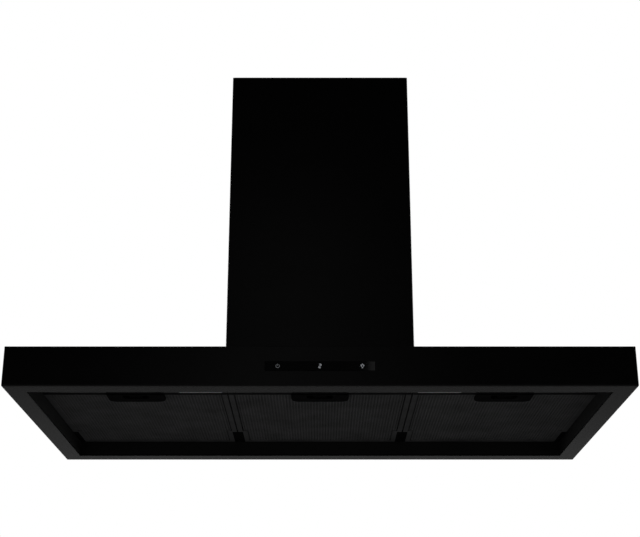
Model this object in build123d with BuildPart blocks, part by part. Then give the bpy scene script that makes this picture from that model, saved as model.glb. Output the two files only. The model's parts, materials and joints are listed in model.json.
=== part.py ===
from build123d import *
import os
from math import acos, degrees

# Island range hood, in millimetres. The origin is the middle of the ceiling plate's four bolt
# holes, on the face that meets the ceiling. +Z is up, the controls face -Y, +X is to the right.
# A height given "above the base" is measured up from the canopy's underside, and a depth given
# "from the front" is measured back from the canopy's front face.

os.makedirs("parts", exist_ok=True)

# Driving dimensions
hood_width = 898.0
hood_depth = 500.0
canopy_height = 58.0
hood_height = 551.0
chimney_width = 285.0
height_travel = 260.0
canopy_sheet = 1.2
fascia_sheet = 1.5
chimney_sheet = 1.0
frame_sheet = 2.0
nest_gap = 0.6
slide_gap = 0.35

# Levels and faces worked out from them
half_width = hood_width / 2
front = -hood_depth / 2
back = hood_depth / 2
base = -hood_height
canopy_top = base + canopy_height
canopy_ceiling = canopy_top - canopy_sheet
rim_top = base + canopy_sheet

# Nested chimney and posts: half widths of the square faces, from the outside in
lower_chimney_face = chimney_width / 2
upper_chimney_face = lower_chimney_face - chimney_sheet - nest_gap
plate_face = upper_chimney_face - chimney_sheet
upper_post_face = plate_face - frame_sheet
lower_post_face = upper_post_face - frame_sheet - slide_gap
lower_post_inner = lower_post_face - frame_sheet

# Ceiling plate
bolt_spacing = 220.0
bolt_hole_radius = 4.25
duct_hole_radius = 85.0
cable_hole_radius = 10.0
cable_hole_x = -112.0
plate_flange = 22.0
plate_screw_spread = 60.0
plate_screw_level = -12.0
clear_hole = 2.1
head_hole = 3.6

# Chimney and post lengths
upper_chimney_length = 330.0
upper_post_length = 340.0
lower_chimney_top = -1.0
lower_post_top = -12.0
upper_leg = 30.0
lower_leg = 28.0
clamp_screw_y = 122.0
clamp_screw_levels = (-24.0, -50.0)
clamp_slot_half = 2.6
foot_screw = 125.0
foot_hole = 2.6
vent_rows = 6
vent_bottom = -82.0
vent_pitch = 9.0
vent_height = 3.4
base_ring_height = 20.0
base_screw_spread = 70.0
base_screw_level = canopy_top + 10

# Underside recess
recess_half = 420.5
recess_front = front + 35.0
recess_back = front + 467.6
recess_depth = 25.0
recess_wall_top = base + 40.0
filter_bottom = base + recess_depth
fascia_return = 5.0
fascia_fold = 2.0

# Light panel across the front of the recess
panel_sheet = 1.2
panel_back = front + 132.5
panel_top = filter_bottom + panel_sheet
lamp_x = 180.0
lamp_back = front + 128.2
lamp_width = 66.0
lamp_depth = 21.0
lamp_corner = 4.0
lens_proud = 1.4
led_chip_count = 6
led_chip_pitch = 10.0
lamp_y = lamp_back - lamp_depth / 2

# Grease filters
filter_pitch = 280.6
filter_width = 278.5
filter_front = front + 134.0
filter_back = front + 466.0
filter_thickness = 9.0
filter_top = filter_bottom + filter_thickness
filter_sheet = 0.8
filter_border = 8.0
filter_names = {"left": -filter_pitch, "center": 0.0, "right": filter_pitch}
notch_front = front + 392.0
notch_side = 131.3
pivot_y = front + 457.6
pivot_z = filter_bottom + filter_thickness / 2
lug_radius = 2.5
lug_length = 4.6
pivot_clearance = 0.08

# Filter handle and its sliding latch
handle_width = 87.0
handle_front = front + 135.0
handle_back = front + 178.0
handle_bottom = filter_bottom - 2.6
handle_top = filter_top - filter_sheet
handle_corner = 12.0
handle_edge = 1.2
finger_half = 20.0
finger_front = front + 140.0
finger_back = front + 158.0
finger_roof = handle_top - 1.1
latch_half = 10.0
latch_bottom = base + 29.6
latch_top = base + 32.0
latch_tip = front + 129.5
latch_back = front + 160.0
latch_pocket_back = front + 167.0
latch_tab_front = front + 148.0
latch_gap = 0.3

# Filter keepers, dividers and rear rail
keeper_front = front + 394.0
keeper_half = 8.6
keeper_inner = filter_pitch + notch_side + 0.4
keeper_slot_depth = 5.0
divider_x = filter_pitch / 2
divider_stem = 1.2
divider_foot = filter_bottom + 3
divider_flange = 20.0
divider_top = base + 36.0
rail_front = front + 440.0

# Control strip in the front face
strip_level = base + 29.0
strip_width = 156.0
strip_height = 13.2
glass_thickness = 2.0
glass_front = front + 0.2
icon_x = 60.0
icon_radius = 3.6
board_front = front + 14.0
board_thickness = 1.6
control_housing_width = 172.0
control_housing_height = 22.0
control_housing_wall = 1.5

# Electronics box in the right of the front channel
box_left = 225.0
box_right = 400.0
box_front = -205.0
box_back = -125.0
box_top = -500.0
box_sheet = 1.2
gland_y = -190.0
gland_neck_half = 6.0
gland_z = -512.4
gland_neck_gap = 0.2
cable_radius = 4.0
box_floor = panel_top + box_sheet
board_left = 236.0
board_right = 366.0
board_near = -176.0
board_far = -130.0
board_post_inset = 6.0
board_level = box_floor + 5.6
board_face = board_level + board_thickness
terminal_count = 4
terminal_pitch = 10.0

# Blower
blower_y = 9.0
blower_z = -366.0
blower_half = 85.0
blower_wall = 2.0
scroll_radius = 100.0
scroll_step = 6.0
outlet_width = 150.0
outlet_top = blower_z + 130.0
inlet_radius = 64.0
impeller_radius = 88.0
impeller_half = 79.0
impeller_disc_radius = 74.2
ring_thickness = 3.0
blade_count = 36
blade_depth = 14.0
blade_thickness = 1.2
blade_turn = 20.0
blade_gap = 0.05
shaft_radius = 4.0
motor_radius = 40.0
motor_left = 8.0
motor_right = 84.0
ring_length = 8.0
ring_flare = 10.0
boss_radius = 12.0
boss_length = 6.0
boss_gap = 0.05
shaft_start = -14.0
grommet_height = 8.0

# Outlet collar and its two damper flaps
collar_radius = 75.0
collar_wall = 2.0
collar_bottom = -196.0
collar_top = -120.0
damper_z = -190.0
damper_pin_y = 5.0
damper_pin_radius = 1.5
flap_radius = 70.3
flap_thickness = 1.5
knuckle_radius = 2.8
knuckle_near = 4.0
knuckle_far = 65.0
flap_corner_cut = 16.0

# Opening in the canopy's top for the blower's intake air
intake_half_x = 128.0
intake_half_y = 95.0


def block(x, y, z, mode=Mode.ADD):
    """A box between two values along each axis, added to the part being built."""
    middle = ((x[0] + x[1]) / 2, (y[0] + y[1]) / 2, (z[0] + z[1]) / 2)
    with Locations(middle):
        Box(abs(x[1] - x[0]), abs(y[1] - y[0]), abs(z[1] - z[0]), mode=mode)


def rod(start, direction, radius, length, mode=Mode.ADD):
    """A round bar or hole from a start point along a direction."""
    with Locations(Plane(origin=start, z_dir=direction)):
        Cylinder(radius, length, align=(Align.CENTER, Align.CENTER, Align.MIN), mode=mode)


def screw(seat, direction, head_radius, head_height, shank_radius, shank_length):
    """A round-headed screw with a socket. seat is under the head, direction goes to its tip."""
    rod(seat, direction, shank_radius, shank_length)
    backwards = tuple(-part for part in direction)
    rod(seat, backwards, head_radius, head_height)
    crown = tuple(place + back_step * head_height for place, back_step in zip(seat, backwards))
    rod(crown, direction, head_radius * 0.4, head_height * 0.5, Mode.SUBTRACT)


def save(piece, name):
    """Label a finished piece and write it as its own file."""
    piece.part.label = name
    export_step(piece.part, f"parts/{name}.step")


# --- Fixed to the ceiling ---------------------------------------------------------------------

with BuildPart() as ceiling_plate:
    with BuildSketch(Plane.XY.offset(-plate_flange)):
        RectangleRounded(2 * plate_face, 2 * plate_face, 1.5)
    extrude(amount=plate_flange)
    block(
        (-upper_post_face, upper_post_face),
        (-upper_post_face, upper_post_face),
        (-plate_flange, -frame_sheet),
        Mode.SUBTRACT,
    )
    with BuildSketch(Plane.XY):
        Circle(duct_hole_radius)
        with GridLocations(bolt_spacing, bolt_spacing, 2, 2):
            Circle(bolt_hole_radius)
        with Locations((cable_hole_x, 0)):
            Circle(cable_hole_radius)
    extrude(amount=-frame_sheet, mode=Mode.SUBTRACT)
    for side in (-1, 1):
        for along in (-plate_screw_spread, plate_screw_spread):
            seat = (side * plate_face, along, plate_screw_level)
            rod(seat, (-side, 0, 0), clear_hole, 4, Mode.SUBTRACT)
            seat = (along, side * plate_face, plate_screw_level)
            rod(seat, (0, -side, 0), clear_hole, 4, Mode.SUBTRACT)
save(ceiling_plate, "ceiling_plate")

with BuildPart() as upper_frame_posts:
    for side_x in (-1, 1):
        for side_y in (-1, 1):
            outer_x = side_x * upper_post_face
            outer_y = side_y * upper_post_face
            inner_x = outer_x - side_x * frame_sheet
            inner_y = outer_y - side_y * frame_sheet
            levels = (-upper_post_length, -frame_sheet)
            block((outer_x, inner_x), (outer_y, outer_y - side_y * upper_leg), levels)
            block((inner_x, outer_x - side_x * upper_leg), (outer_y, inner_y), levels)
            slot_y = side_y * clamp_screw_y
            block(
                (outer_x + side_x, inner_x - side_x),
                (slot_y - clamp_slot_half, slot_y + clamp_slot_half),
                (clamp_screw_levels[-1] - height_travel - 6, clamp_screw_levels[0] + 6),
                Mode.SUBTRACT,
            )
save(upper_frame_posts, "upper_frame_posts")


def chimney_half(face, bottom, top, side):
    """Plan of half of a square sheet-metal tube, in front of or behind the middle plane."""
    with BuildSketch(Plane.XY.offset(bottom)) as plan:
        RectangleRounded(2 * face, 2 * face, 1.5)
        inside = 2 * (face - chimney_sheet)
        RectangleRounded(inside, inside, 0.5, mode=Mode.SUBTRACT)
        with Locations((0, side * face / 2)):
            Rectangle(2 * face, face, mode=Mode.INTERSECT)
    return extrude(plan.sketch, amount=top - bottom)


def upper_chimney(name, side):
    """Half of the upper chimney, with vent slots in its two side walls."""
    with BuildPart() as half:
        chimney_half(upper_chimney_face, -upper_chimney_length, 0, side)
        for wall in (-1, 1):
            outside = wall * (upper_chimney_face + 1)
            inside = wall * (plate_face - 1)
            for row in range(vent_rows):
                level = vent_bottom + row * vent_pitch
                levels = (level, level + vent_height)
                block((outside, inside), (side * 35, side * 95), levels, Mode.SUBTRACT)
            start = (outside, side * plate_screw_spread, plate_screw_level)
            rod(start, (-wall, 0, 0), head_hole, 3, Mode.SUBTRACT)
        for along in (-plate_screw_spread, plate_screw_spread):
            start = (along, side * (upper_chimney_face + 1), plate_screw_level)
            rod(start, (0, -side, 0), head_hole, 3, Mode.SUBTRACT)
    save(half, name)


upper_chimney("upper_chimney_front", -1)
upper_chimney("upper_chimney_rear", 1)

with BuildPart() as upper_frame_screws:
    for side in (-1, 1):
        for along in (-plate_screw_spread, plate_screw_spread):
            screw((side * plate_face, along, plate_screw_level), (-side, 0, 0), 3.4, 0.9, 1.9, 5)
            screw((along, side * plate_face, plate_screw_level), (0, -side, 0), 3.4, 0.9, 1.9, 5)
save(upper_frame_screws, "upper_frame_screws")

# --- Posts and lower chimney, which move down with the hood ---------------------------------

with BuildPart() as lower_frame_posts:
    for side_x in (-1, 1):
        for side_y in (-1, 1):
            outer_x = side_x * lower_post_face
            outer_y = side_y * lower_post_face
            inner_x = side_x * lower_post_inner
            inner_y = side_y * lower_post_inner
            tip_x = outer_x - side_x * lower_leg
            tip_y = outer_y - side_y * lower_leg
            block((outer_x, inner_x), (outer_y, tip_y), (canopy_top, lower_post_top))
            block((inner_x, tip_x), (outer_y, inner_y), (canopy_top, lower_post_top))
            block((inner_x, tip_x), (inner_y, tip_y), (canopy_top, canopy_top + frame_sheet))
            foot = (side_x * foot_screw, side_y * foot_screw, canopy_top - 1)
            rod(foot, (0, 0, 1), foot_hole, 5, Mode.SUBTRACT)
            for level in clamp_screw_levels:
                start = (inner_x - side_x, side_y * clamp_screw_y, level)
                rod(start, (side_x, 0, 0), 2.2, 4, Mode.SUBTRACT)
save(lower_frame_posts, "lower_frame_posts")

with BuildPart() as frame_clamp_screws:
    for side_x in (-1, 1):
        for side_y in (-1, 1):
            for level in clamp_screw_levels:
                seat = (side_x * lower_post_inner, side_y * clamp_screw_y, level)
                screw(seat, (side_x, 0, 0), 4.5, 2.4, 2.0, 5.3)
save(frame_clamp_screws, "frame_clamp_screws")

with BuildPart() as chimney_base_ring:
    ring_face = lower_chimney_face - chimney_sheet
    with BuildSketch(Plane.XY.offset(canopy_top)):
        RectangleRounded(2 * ring_face, 2 * ring_face, 1.5)
        Rectangle(2 * ring_face - 3, 2 * ring_face - 3, mode=Mode.SUBTRACT)
    extrude(amount=base_ring_height)
    with BuildSketch(Plane.XY.offset(canopy_top)):
        Rectangle(2 * ring_face - 2, 2 * ring_face - 2)
        Rectangle(2 * lower_post_face + 1.4, 2 * lower_post_face + 1.4, mode=Mode.SUBTRACT)
    extrude(amount=canopy_sheet)
    for side in (-1, 1):
        for along in (-base_screw_spread, base_screw_spread):
            start = (side * (ring_face + 1), along, base_screw_level)
            rod(start, (-side, 0, 0), clear_hole, 4, Mode.SUBTRACT)
save(chimney_base_ring, "chimney_base_ring")


def lower_chimney(name, side):
    """Half of the lower chimney, with a screw hole at the foot of each side wall."""
    with BuildPart() as half:
        chimney_half(lower_chimney_face, canopy_top, lower_chimney_top, side)
        for wall in (-1, 1):
            start = (wall * (lower_chimney_face + 1), side * base_screw_spread, base_screw_level)
            rod(start, (-wall, 0, 0), head_hole, 3, Mode.SUBTRACT)
    save(half, name)


lower_chimney("lower_chimney_front", -1)
lower_chimney("lower_chimney_rear", 1)

with BuildPart() as chimney_screws:
    for side in (-1, 1):
        for along in (-base_screw_spread, base_screw_spread):
            seat = (side * (lower_chimney_face - chimney_sheet), along, base_screw_level)
            screw(seat, (-side, 0, 0), 3.4, 0.9, 1.9, 4)
save(chimney_screws, "chimney_screws")

# --- Canopy -----------------------------------------------------------------------------------

with BuildPart() as canopy_shell:
    block((-half_width, half_width), (front + fascia_sheet, back), (rim_top, canopy_top))
    block(
        (-half_width + canopy_sheet, half_width - canopy_sheet),
        (front, back - canopy_sheet),
        (rim_top, canopy_ceiling),
        Mode.SUBTRACT,
    )
    block(
        (-intake_half_x, intake_half_x),
        (-intake_half_y, intake_half_y),
        (canopy_ceiling, canopy_top),
        Mode.SUBTRACT,
    )
    with BuildSketch(Plane.XY.offset(canopy_top)):
        with GridLocations(2 * foot_screw, 2 * foot_screw, 2, 2):
            Circle(foot_hole)
    extrude(amount=-canopy_sheet, mode=Mode.SUBTRACT)
save(canopy_shell, "canopy_shell")

with BuildPart() as canopy_screws:
    for side_x in (-1, 1):
        for side_y in (-1, 1):
            seat = (side_x * foot_screw, side_y * foot_screw, canopy_top + frame_sheet)
            screw(seat, (0, 0, -1), 5.0, 2.8, 2.5, 10)
save(canopy_screws, "canopy_screws")

with BuildPart() as front_fascia:
    block((-half_width, half_width), (front, front + fascia_sheet), (base, canopy_top))
    block((-half_width, half_width), (front, front + fascia_return), (base, rim_top))
    block(
        (-half_width + 3, half_width - 3),
        (front, front + 14),
        (canopy_ceiling - canopy_sheet, canopy_ceiling),
    )
    with BuildSketch(Plane.XZ.offset(-front)):
        with Locations((0, strip_level)):
            RectangleRounded(strip_width + 0.4, strip_height + 0.4, 0.8)
    extrude(amount=-fascia_sheet, mode=Mode.SUBTRACT)
    long_edges = front_fascia.edges().filter_by(Axis.X)
    fillet(long_edges.group_by(Axis.Z)[0].sort_by(Axis.Y)[0], radius=fascia_fold)
save(front_fascia, "front_fascia")

with BuildPart() as underside_frame:
    block((-half_width, half_width), (front + fascia_return, back), (base, rim_top))
    block(
        (-recess_half - canopy_sheet, recess_half + canopy_sheet),
        (recess_front - canopy_sheet, recess_back + canopy_sheet),
        (base, recess_wall_top),
    )
    block(
        (-recess_half, recess_half),
        (recess_front, recess_back),
        (base, recess_wall_top),
        Mode.SUBTRACT,
    )
save(underside_frame, "underside_frame")

with BuildPart() as light_panel:
    block((-recess_half, recess_half), (recess_front, panel_back), (filter_bottom, panel_top))
    block(
        (-recess_half, recess_half),
        (panel_back - panel_sheet, panel_back),
        (filter_bottom, canopy_ceiling),
    )
    for middle in filter_names.values():
        block(
            (middle - latch_half - 2, middle + latch_half + 2),
            (panel_back - 2, panel_back + 1),
            (latch_bottom - 0.4, divider_top - 1.5),
            Mode.SUBTRACT,
        )
    with BuildSketch(Plane.XY.offset(filter_bottom)):
        with Locations((-lamp_x, lamp_y), (lamp_x, lamp_y)):
            RectangleRounded(lamp_width + 0.6, lamp_depth + 0.6, lamp_corner)
    extrude(amount=panel_sheet, mode=Mode.SUBTRACT)
save(light_panel, "light_panel")

with BuildPart() as filter_dividers:
    for side in (-1, 1):
        middle = side * divider_x
        block(
            (middle - divider_stem / 2, middle + divider_stem / 2),
            (panel_back, keeper_front),
            (divider_foot, divider_top - 1),
        )
        block(
            (middle - divider_flange / 2, middle + divider_flange / 2),
            (panel_back, rail_front + 5),
            (divider_top - 1.5, divider_top),
        )
save(filter_dividers, "filter_dividers")

with BuildPart() as rear_rail:
    rail_top = recess_wall_top + canopy_sheet
    rail_width = (-recess_half, recess_half)
    block(rail_width, (rail_front, recess_back + canopy_sheet), (recess_wall_top, rail_top))
    block(rail_width, (rail_front, rail_front + canopy_sheet), (divider_top, rail_top))
save(rear_rail, "rear_rail")


def pivot_slot(near, far):
    """Cut a slot for a filter's pivot lug, round at the back and open at the front."""
    radius = lug_radius + pivot_clearance
    direction = (1, 0, 0) if far > near else (-1, 0, 0)
    rod((near, pivot_y, pivot_z), direction, radius, abs(far - near), Mode.SUBTRACT)
    block((near, far), (keeper_front - 1, pivot_y), (pivot_z - radius, pivot_z + radius), Mode.SUBTRACT)


with BuildPart() as filter_keepers:
    for side in (-1, 1):
        middle = side * divider_x
        inside = middle - side * keeper_half
        outside = middle + side * keeper_half
        end = side * keeper_inner
        block((inside, outside), (keeper_front, recess_back), (filter_bottom, filter_top))
        block((end, side * recess_half), (keeper_front, recess_back), (filter_bottom, filter_top))
        pivot_slot(inside, inside + side * keeper_slot_depth)
        pivot_slot(outside, outside - side * keeper_slot_depth)
        pivot_slot(end, end + side * keeper_slot_depth)
save(filter_keepers, "filter_keepers")

# --- Lights -----------------------------------------------------------------------------------

lamp_housing_back = panel_back - panel_sheet
lamp_housing_front = lamp_y - lamp_depth / 2 - 1.6
lamp_housing_half = lamp_width / 2 + 5
lamp_housing_top = panel_top + 13

with BuildPart() as led_housings:
    for side in (-1, 1):
        middle = side * lamp_x
        block(
            (middle - lamp_housing_half, middle + lamp_housing_half),
            (lamp_housing_front, lamp_housing_back),
            (panel_top, lamp_housing_top),
        )
        block(
            (middle - lamp_housing_half + 1, middle + lamp_housing_half - 1),
            (lamp_housing_front + 1, lamp_housing_back - 1),
            (panel_top, lamp_housing_top - 1),
            Mode.SUBTRACT,
        )
save(led_housings, "led_housings")

with BuildPart() as led_boards:
    for side in (-1, 1):
        middle = side * lamp_x
        board_top = lamp_housing_top - 1
        chip_top = board_top - 1.2
        block((middle - 31, middle + 31), (lamp_y - 8, lamp_y + 8), (chip_top, board_top))
        for step in range(led_chip_count):
            chip = middle + (step - (led_chip_count - 1) / 2) * led_chip_pitch
            block((chip - 1.5, chip + 1.5), (lamp_y - 1.5, lamp_y + 1.5), (chip_top - 0.8, chip_top))
save(led_boards, "led_boards")


# Each opal window drops through the light panel and rests on it by its two ends.
with BuildPart() as led_lenses:
    with BuildSketch(Plane.XY.offset(filter_bottom - lens_proud)):
        with Locations((-lamp_x, lamp_y), (lamp_x, lamp_y)):
            RectangleRounded(lamp_width, lamp_depth, lamp_corner)
    extrude(amount=lens_proud + panel_sheet + 1.2)
    fillet(led_lenses.faces().group_by(Axis.Z)[0].edges(), radius=0.5)
    for middle in (-lamp_x, lamp_x):
        block(
            (middle - lamp_width / 2 - 2.5, middle + lamp_width / 2 + 2.5),
            (lamp_y - 7, lamp_y + 7),
            (panel_top, panel_top + 1.2),
        )
save(led_lenses, "led_lenses")

# --- Controls ---------------------------------------------------------------------------------

with BuildPart() as control_glass:
    with BuildSketch(Plane.XZ.offset(-glass_front)):
        with Locations((0, strip_level)):
            RectangleRounded(strip_width, strip_height, 0.6)
    extrude(amount=-glass_thickness)
save(control_glass, "control_glass")

with BuildPart() as control_housing:
    housing_front = front + fascia_sheet
    housing_back = board_front + 6
    half_high = control_housing_height / 2
    half_wide = control_housing_width / 2
    levels = (strip_level - half_high, strip_level + half_high)
    block((-half_wide, half_wide), (housing_front, housing_back), levels)
    half_high -= control_housing_wall
    half_wide -= control_housing_wall
    levels = (strip_level - half_high, strip_level + half_high)
    places = (housing_front, housing_back - control_housing_wall)
    block((-half_wide, half_wide), places, levels, Mode.SUBTRACT)
save(control_housing, "control_housing")

with BuildPart() as control_board:
    board_back = board_front + board_thickness
    block((-76, 76), (board_front, board_back), (strip_level - 8, strip_level + 8))
    block((-40, -28), (board_back, board_back + 2), (strip_level - 5, strip_level + 5))
    block((30, 48), (board_back, board_back + 2.9), (strip_level - 4, strip_level + 4))
save(control_board, "control_board")

with BuildPart() as digit_display:
    display_front = glass_front + glass_thickness
    block((-4.6, 4.6), (display_front, board_front), (strip_level - 6.2, strip_level + 6.2))
save(digit_display, "digit_display")

with BuildPart() as touch_icons:
    for place in (-icon_x, icon_x):
        rod((place, display_front, strip_level), (0, 1, 0), icon_radius, board_front - display_front)
save(touch_icons, "touch_icons")

# --- Electronics box --------------------------------------------------------------------------

with BuildPart() as electronics_box:
    block((box_left, box_right), (box_front, box_back), (panel_top, box_top))
    block(
        (box_left + box_sheet, box_right - box_sheet),
        (box_front + box_sheet, box_back - box_sheet),
        (box_floor, box_top),
        Mode.SUBTRACT,
    )
    neck_hole_half = gland_neck_half + gland_neck_gap
    block(
        (box_left - 1, box_left + box_sheet + 1),
        (gland_y - neck_hole_half, gland_y + neck_hole_half),
        (gland_z - neck_hole_half, gland_z + neck_hole_half),
        Mode.SUBTRACT,
    )
    for place_x in (board_left + board_post_inset, board_right - board_post_inset):
        for place_y in (board_near + board_post_inset, board_far - board_post_inset):
            rod((place_x, place_y, box_floor), (0, 0, 1), 3, board_level - box_floor)
save(electronics_box, "electronics_box")

with BuildPart() as electronics_cover:
    block((box_left, box_right), (box_front, box_back), (box_top, box_top + box_sheet))
    lip_levels = (box_top - 2, box_top)
    block((box_left + 1.6, box_right - 1.6), (box_front + 1.6, box_back - 1.6), lip_levels)
    block(
        (box_left + 3, box_right - 3),
        (box_front + 3, box_back - 3),
        lip_levels,
        Mode.SUBTRACT,
    )
save(electronics_cover, "electronics_cover")

with BuildPart() as main_board:
    block((board_left, board_right), (board_near, board_far), (board_level, board_face))
    block((300, 326), (-160, -138), (board_face, board_face + 11.4))
    for place_x in (246, 262):
        block((place_x, place_x + 12), (-168, -156), (board_face, board_face + 9.4))
save(main_board, "main_board")

with BuildPart() as terminal_block:
    block((372, 396), (-190, -146), (box_floor, panel_top + 15))
    for step in range(terminal_count):
        rod((384, -184 + step * terminal_pitch, panel_top + 9), (0, 0, 1), 3, 8, Mode.SUBTRACT)
save(terminal_block, "terminal_block")

with BuildPart() as motor_capacitor:
    rod((250, -189, box_floor + 9), (1, 0, 0), 9, 46)
    fillet(motor_capacitor.edges().filter_by(GeomType.CIRCLE), radius=1)
save(motor_capacitor, "motor_capacitor")

with BuildPart() as cable_gland:
    outwards = (-1, 0, 0)
    nut_face = box_left + box_sheet + 3.5
    rod((nut_face, gland_y, gland_z), outwards, 9, 3.5)
    block(
        (box_left - 4, nut_face),
        (gland_y - gland_neck_half, gland_y + gland_neck_half),
        (gland_z - gland_neck_half, gland_z + gland_neck_half),
    )
    with BuildSketch(Plane(origin=(box_left, gland_y, gland_z), z_dir=outwards)):
        RegularPolygon(10, 6)
    extrude(amount=12)
    rod((box_left - 12, gland_y, gland_z), outwards, 8, 9)
    fillet(cable_gland.edges().filter_by(GeomType.CIRCLE).sort_by(Axis.X)[0], radius=2)
    rod((box_left + 10, gland_y, gland_z), outwards, cable_radius, 40, Mode.SUBTRACT)
save(cable_gland, "cable_gland")

# --- Blower -----------------------------------------------------------------------------------


def scroll_outline(shrink):
    """Side outline of the blower: three tangent quarter arcs that grow, then a straight outlet."""
    first = (blower_y, blower_z)
    second = (blower_y - scroll_step, blower_z)
    third = (blower_y - scroll_step, blower_z + scroll_step)
    outlet_front = third[0] - scroll_radius - 2 * scroll_step + shrink
    outlet_back = outlet_front + outlet_width - 2 * shrink
    inner_radius = scroll_radius - shrink
    meeting = degrees(acos((outlet_back - blower_y) / inner_radius))
    with BuildSketch(Plane.YZ) as outline:
        with BuildLine():
            rising = CenterArc(first, inner_radius, 0, meeting)
            CenterArc(second, inner_radius + scroll_step, 270, 90)
            filling = CenterArc(third, inner_radius + 2 * scroll_step, 180, 90)
            Polyline(
                rising @ 1,
                (outlet_back, outlet_top),
                (outlet_front, outlet_top),
                filling @ 0,
            )
        make_face()
    return outline.sketch


with BuildPart() as volute_right:
    extrude(scroll_outline(0), amount=blower_half)
    extrude(scroll_outline(blower_wall), amount=blower_half - blower_wall, mode=Mode.SUBTRACT)
    rod((0, blower_y, blower_z), (1, 0, 0), inlet_radius, blower_half, Mode.SUBTRACT)
save(volute_right, "volute_right")

with BuildPart() as volute_left:
    mirror(volute_right.part, about=Plane.YZ)
save(volute_left, "volute_left")

with BuildPart() as inlet_rings:
    for side in (-1, 1):
        start = (side * blower_half, blower_y, blower_z)
        rod(start, (side, 0, 0), inlet_radius + ring_flare, ring_length)
        rod(start, (side, 0, 0), inlet_radius, ring_length, Mode.SUBTRACT)
    mouths = inlet_rings.edges().filter_by(GeomType.CIRCLE).group_by(SortBy.RADIUS)[0].sort_by(Axis.X)
    fillet([mouths[0], mouths[-1]], radius=6)
save(inlet_rings, "inlet_rings")

with BuildPart() as motor:
    rod((motor_left, blower_y, blower_z), (1, 0, 0), motor_radius, motor_right - motor_left)
    chamfer(motor.edges().filter_by(GeomType.CIRCLE), length=4)
    boss_start = (motor_left - boss_length - boss_gap, blower_y, blower_z)
    rod(boss_start, (1, 0, 0), boss_radius, boss_length)
    rod(boss_start, (1, 0, 0), shaft_radius + 0.05, boss_length, Mode.SUBTRACT)
save(motor, "motor")

with BuildPart() as motor_bracket:
    ring_end = blower_half + ring_length
    arm_face = Plane(origin=(ring_end, blower_y, blower_z), z_dir=(1, 0, 0))
    rod((motor_right, blower_y, blower_z), (1, 0, 0), 24, ring_end - motor_right)
    with Locations(arm_face):
        with PolarLocations(40, 3, start_angle=30):
            Box(80, 12, 2.5, align=(Align.CENTER, Align.CENTER, Align.MIN))
    with Locations(arm_face.offset(-ring_length)):
        with PolarLocations(77.5, 3, start_angle=30):
            Box(5, 12, ring_length, align=(Align.CENTER, Align.CENTER, Align.MIN))
save(motor_bracket, "motor_bracket")

with BuildPart() as motor_shaft:
    rod((shaft_start, blower_y, blower_z), (1, 0, 0), shaft_radius, motor_left - 0.5 - shaft_start)
save(motor_shaft, "motor_shaft")

wheel_middle = Plane(origin=(0, blower_y, blower_z), z_dir=(1, 0, 0))
ring_start = impeller_half - ring_thickness

with BuildPart() as impeller_plates:
    with Locations(wheel_middle):
        Cylinder(impeller_disc_radius, 2)
    rod((shaft_start, blower_y, blower_z), (1, 0, 0), 11, -shaft_start)
    rod((shaft_start, blower_y, blower_z), (1, 0, 0), shaft_radius, 30, Mode.SUBTRACT)
    for side in (-1, 1):
        start = (side * ring_start, blower_y, blower_z)
        rod(start, (side, 0, 0), impeller_radius + 1, ring_thickness)
        rod(start, (side, 0, 0), impeller_radius - blade_depth + 1, ring_thickness, Mode.SUBTRACT)
save(impeller_plates, "impeller_plates")

with BuildPart() as impeller_blades:
    with Locations(wheel_middle):
        with PolarLocations(impeller_radius - blade_depth / 2, blade_count):
            Box(blade_depth, blade_thickness, 2 * (ring_start - blade_gap), rotation=(0, 0, blade_turn))
save(impeller_blades, "impeller_blades")

with BuildPart() as blower_feet:
    for side in (-1, 1):
        foot_levels = (canopy_top + grommet_height, canopy_top + grommet_height + 3)
        block((side * 60, side * 80), (-120, 120), foot_levels)
        block((side * 60, side * 80), (-32, 38), (foot_levels[1], blower_z - 92))
    extrude(scroll_outline(0), amount=blower_half, both=True, mode=Mode.SUBTRACT)
save(blower_feet, "blower_feet")

with BuildPart() as rubber_grommets:
    for place_x in (-70, 70):
        for place_y in (-110, 110):
            rod((place_x, place_y, canopy_top), (0, 0, 1), 8, grommet_height)
    fillet(rubber_grommets.edges().filter_by(GeomType.CIRCLE), radius=1.2)
save(rubber_grommets, "rubber_grommets")

# --- Outlet collar and dampers ----------------------------------------------------------------

outlet_y = blower_y - scroll_radius - 3 * scroll_step + outlet_width / 2


def duct_transition(wall):
    """Loft between the blower's square outlet and the round collar, inside a wall thickness."""
    with BuildSketch(Plane.XY.offset(outlet_top)) as square:
        with Locations((0, outlet_y)):
            RectangleRounded(2 * blower_half - 2 * wall, outlet_width - 2 * wall, 4)
    with BuildSketch(Plane.XY.offset(collar_bottom)) as circle:
        Circle(collar_radius - wall)
    return (square.sketch, circle.sketch)


with BuildPart() as outlet_transition:
    loft(duct_transition(0))
    with BuildSketch(Plane.XY.offset(outlet_top)):
        with Locations((0, outlet_y)):
            RectangleRounded(2 * blower_half + 12, outlet_width + 12, 6)
    extrude(amount=3)
    loft(duct_transition(collar_wall), mode=Mode.SUBTRACT)
save(outlet_transition, "outlet_transition")

with BuildPart() as outlet_collar:
    collar_length = collar_top - collar_bottom
    rod((0, 0, collar_bottom), (0, 0, 1), collar_radius, collar_length)
    rod((0, 0, collar_bottom), (0, 0, 1), collar_radius - collar_wall, collar_length, Mode.SUBTRACT)
    with BuildSketch(Plane.XY.offset(damper_z - 3)):
        Circle(collar_radius - collar_wall)
        Circle(collar_radius - 6, mode=Mode.SUBTRACT)
    extrude(amount=1.8)
save(outlet_collar, "outlet_collar")

with BuildPart() as damper_bar:
    for side in (-1, 1):
        block((side * 66, side * 72.4), (-8, 8), (damper_z - 1.2, damper_z + 4))
        rod((-68, side * damper_pin_y, damper_z), (1, 0, 0), damper_pin_radius, 136)
    block((-3, 3), (-7, 7), (damper_z - 2, damper_z + 2))
save(damper_bar, "damper_bar")


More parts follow.
